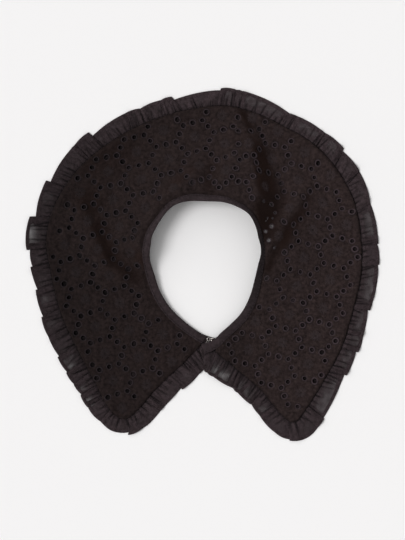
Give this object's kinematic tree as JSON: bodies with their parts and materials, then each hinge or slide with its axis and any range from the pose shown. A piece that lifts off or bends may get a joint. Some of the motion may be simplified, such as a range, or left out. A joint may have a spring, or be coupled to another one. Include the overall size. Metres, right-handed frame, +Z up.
{
  "type": "lace collar",
  "caption": "Detachable black eyelet-lace collar with a plain lining, a pleated ruffle all round, a bound neck edge and a hook and eye at the front, laid flat.",
  "frame": {"origin": "on the surface that the collar lies on, under the middle of its outline", "axes": "+Z up out of the cloth's face, +Y towards the back of the neck, +X to the right of the closure as seen from above"},
  "size_m": [0.3537, 0.3529, 0.0353],
  "materials": {
    "eyelet_cotton": "matt black cotton with satin-stitched eyelets and daisies",
    "lining_voile": "matt sheer black voile",
    "ruffle_voile": "matt sheer black voile, lighter where it is one layer",
    "binding_voile": "matt black voile, folded on the bias",
    "hook_wire": "bright nickel-plated wire",
    "eye_wire": "bright nickel-plated wire"
  },
  "bodies": {
    "root": {"collar_leaf": "eyelet_cotton", "collar_lining": "lining_voile", "ruffle": "ruffle_voile", "neck_binding": "binding_voile", "hook": "hook_wire", "eye": "eye_wire"}
  },
  "joints": []
}
